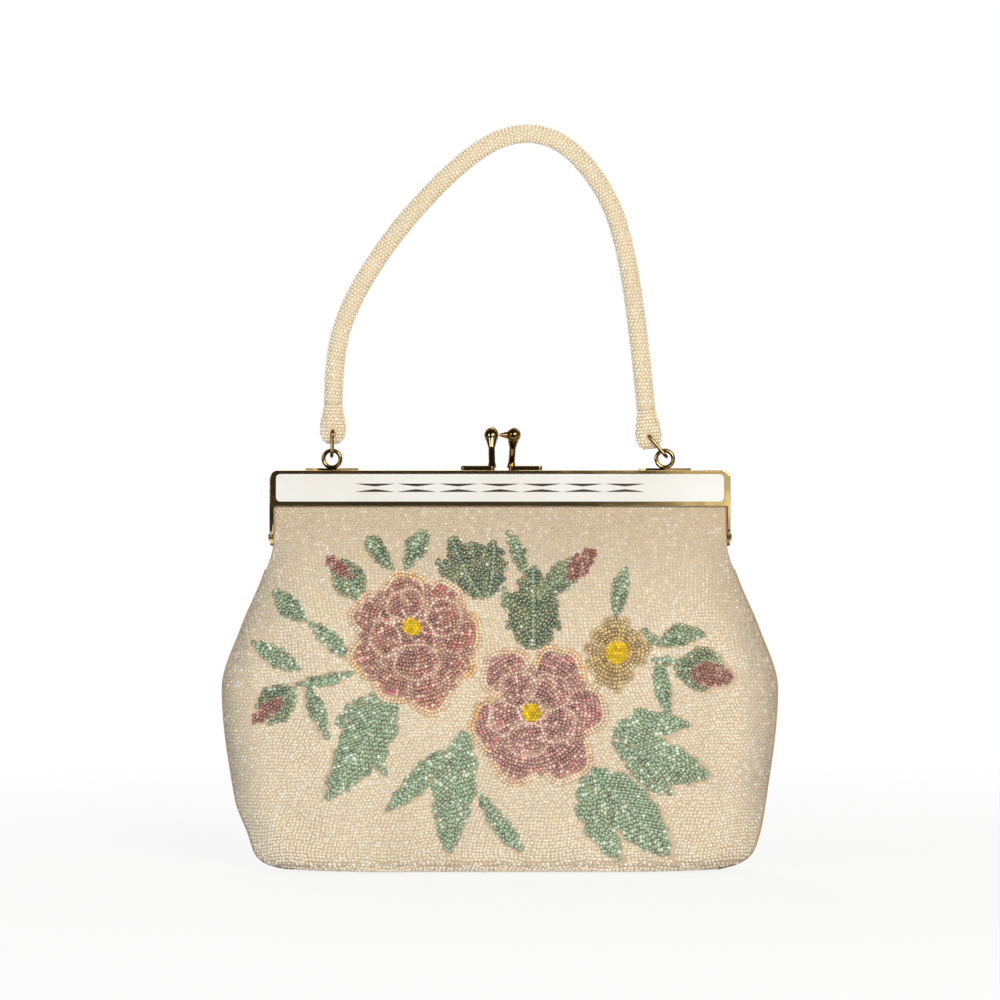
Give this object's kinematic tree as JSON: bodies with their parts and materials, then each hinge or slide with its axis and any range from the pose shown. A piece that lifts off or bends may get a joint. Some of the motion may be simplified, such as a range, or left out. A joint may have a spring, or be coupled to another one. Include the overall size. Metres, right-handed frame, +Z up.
{
  "type": "kiss lock frame purse",
  "caption": "Small beaded evening purse on a hinged metal frame with an enamel bar, a ball kiss lock and a bead-wrapped rope handle on wire links.",
  "frame": {"origin": "on the floor under the middle of the pouch", "axes": "+X to the right seen from the front, +Y to the back, +Z up"},
  "size_m": [0.2008, 0.0386, 0.2702],
  "materials": {
    "gilt_metal": "polished, lightly worn",
    "white_enamel": "gloss enamel",
    "engraved_metal": "engraved, darkened",
    "beaded_cloth": "cloth sewn over with small glass beads",
    "lining_cloth": "satin",
    "filler_cord": "twisted paper cord",
    "handle_core": "firm cotton core"
  },
  "bodies": {
    "pouch": {"front_panel": "beaded_cloth", "back_panel": "beaded_cloth", "lining": "lining_cloth", "left_rivet": "gilt_metal", "right_rivet": "gilt_metal"},
    "front_half": {"front_frame": "gilt_metal", "front_inlay": "white_enamel", "front_marks": "engraved_metal", "front_band": "beaded_cloth", "front_filler": "filler_cord", "front_clasp_stem": "gilt_metal", "front_clasp_ball": "gilt_metal"},
    "back_half": {"back_frame": "gilt_metal", "back_inlay": "white_enamel", "back_marks": "engraved_metal", "back_band": "beaded_cloth", "back_filler": "filler_cord", "back_clasp_stem": "gilt_metal", "back_clasp_ball": "gilt_metal", "left_eye_plate": "gilt_metal", "right_eye_plate": "gilt_metal", "left_eye": "gilt_metal", "right_eye": "gilt_metal"},
    "handle": {"handle_cover": "beaded_cloth", "handle_core": "handle_core", "left_tab": "beaded_cloth", "right_tab": "beaded_cloth", "left_link": "gilt_metal", "right_link": "gilt_metal"}
  },
  "joints": [
    {"name": "front_open", "type": "hinge", "parent": "pouch", "child": "front_half", "pos_m": [0, 0, 0.121], "axis": [1, 0, 0], "range_deg": [0, 30]},
    {"name": "back_open", "type": "hinge", "parent": "pouch", "child": "back_half", "pos_m": [0, 0, 0.121], "axis": [-1, 0, 0], "range_deg": [0, 30]},
    {"name": "handle_swing", "type": "hinge", "parent": "back_half", "child": "handle", "pos_m": [-0.06076, 0.00305, 0.15225], "axis": [1, 0, -0.0046], "range_deg": [-90, 90]}
  ],
  "couplings": [
    {"joint": "back_open", "follows": "front_open", "ratio": 1}
  ]
}
